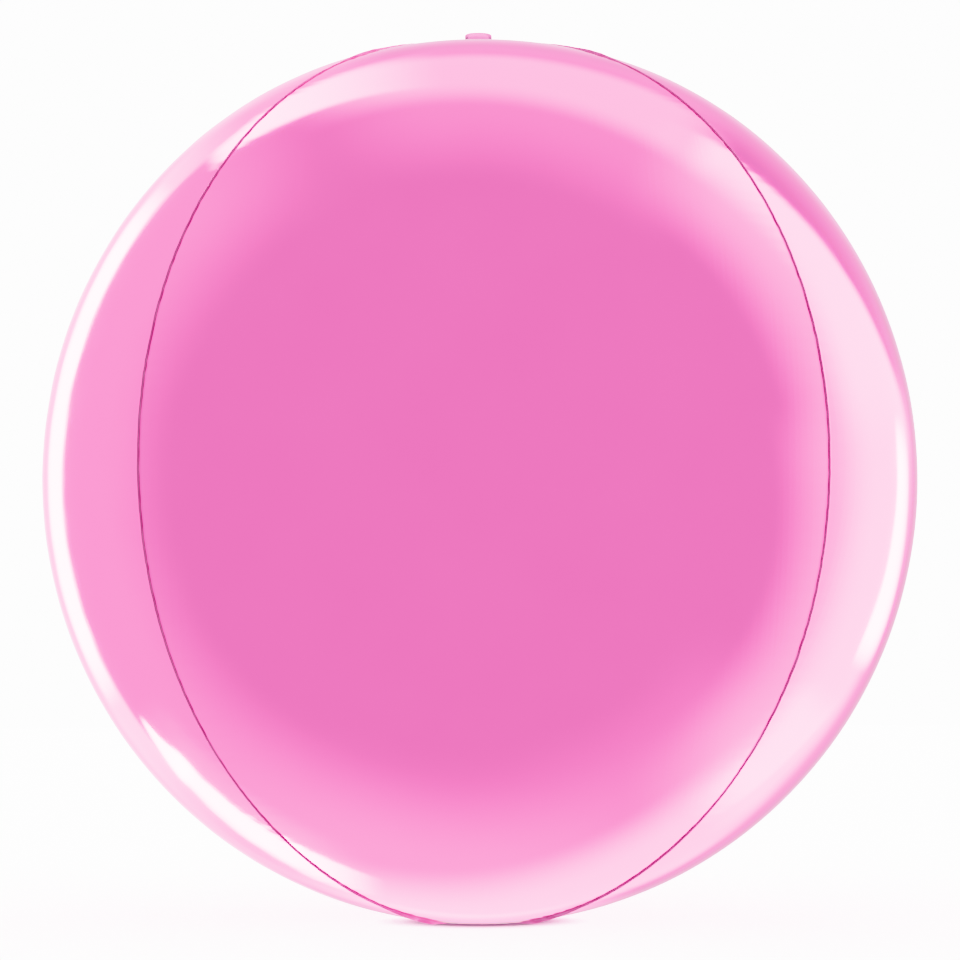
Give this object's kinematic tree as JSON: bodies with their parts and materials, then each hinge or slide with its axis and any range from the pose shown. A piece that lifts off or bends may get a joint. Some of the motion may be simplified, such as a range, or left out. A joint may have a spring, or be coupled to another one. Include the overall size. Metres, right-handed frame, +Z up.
{
  "type": "sphere foil balloon",
  "caption": "Air-filled spherical foil balloon of sealed film gores with upright flanged seams and a small holed hanging tab on top.",
  "frame": {"origin": "centre of the small flat spot that the balloon rests on, on its upright axis", "axes": "+Z up from the rest spot to the hanging tab; -Y is the front, out through the middle of the front gore; +X is the viewer's right"},
  "size_m": [0.3898, 0.3898, 0.402],
  "materials": {
    "foil": "pink metallised film, mirror gloss",
    "tab_foil": "two layers of the same pink metallised film, sealed flat"
  },
  "bodies": {
    "root": {"gore_front": "foil", "gore_right": "foil", "gore_back": "foil", "gore_left": "foil", "hanging_tab": "tab_foil"}
  },
  "joints": []
}
